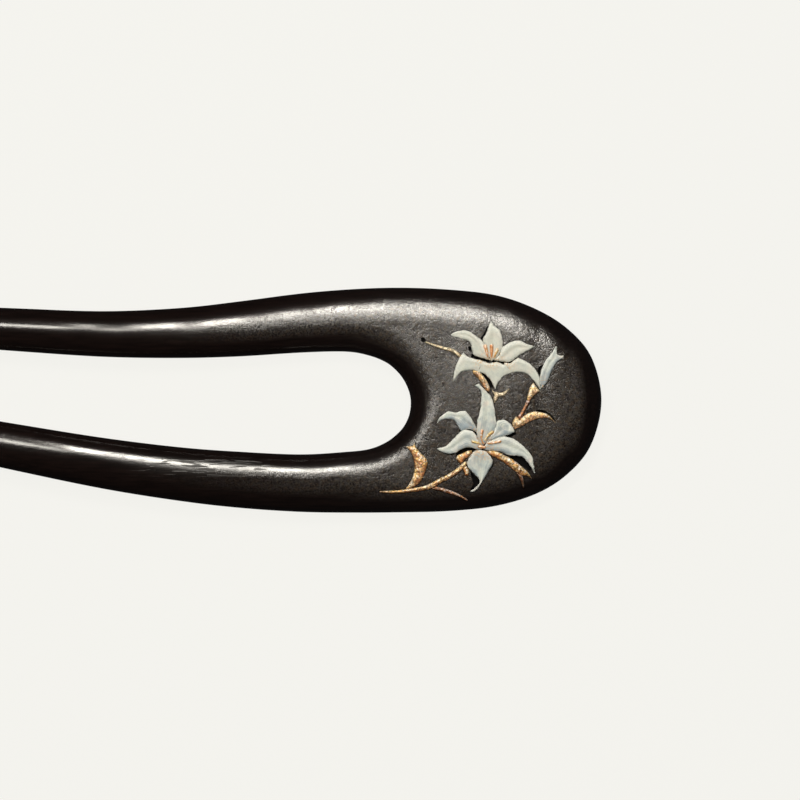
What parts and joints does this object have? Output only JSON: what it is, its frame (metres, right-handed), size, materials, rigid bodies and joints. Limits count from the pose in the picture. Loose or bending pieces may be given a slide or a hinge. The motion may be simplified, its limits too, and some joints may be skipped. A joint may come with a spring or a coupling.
{
  "type": "hair fork",
  "caption": "Carved wooden hair fork: two tapered prongs run from a flat oval head inlaid with shell lilies, a side bud and gilt stems and leaves.",
  "frame": {"origin": "on the flat back face of the head, under the middle of the flowers", "axes": "+X from the prongs to the rounded end of the head, +Y across the fork, +Z out of the decorated face"},
  "size_m": [0.17, 0.0421, 0.009],
  "materials": {
    "ebony": "near-black wood, taken for ebony, satin polish",
    "shell": "greyish white, taken for shell, smooth and softly shaded",
    "gilt": "speckled gilt with dark pits",
    "copper": "reddish copper leaf, satin"
  },
  "bodies": {
    "root": {"fork_body": "ebony", "lower_lily_top_petal": "shell", "lower_lily_lower_right_petal": "shell", "lower_lily_left_petal": "shell", "lower_lily_bottom_petal": "shell", "lower_lily_right_petal": "shell", "lower_lily_upper_left_petal": "shell", "upper_lily_top_petal": "shell", "upper_lily_front_petal": "shell", "upper_lily_left_petal": "shell", "upper_lily_right_petal": "shell", "upper_lily_front_left_petal": "shell", "upper_lily_front_right_petal": "shell", "bud_petal": "shell", "lower_lily_gold_stamen": "gilt", "lower_lily_left_stamen": "gilt", "upper_lily_right_stamen": "gilt", "bud_calyx": "gilt", "right_leaf": "gilt", "neck_stem": "gilt", "upper_left_stem": "gilt", "main_stem": "gilt", "left_leaf": "gilt", "bract": "gilt", "stem_knot": "gilt", "lower_right_leaf": "gilt", "lower_lily_upper_stamen": "copper", "lower_lily_right_stamen": "copper", "lower_lily_pistil": "copper", "upper_lily_left_stamen": "copper", "upper_lily_middle_stamen": "copper", "bud_stem": "copper", "forked_twig": "copper", "lower_tendril": "copper", "leaf_tendril": "copper"}
  },
  "joints": []
}
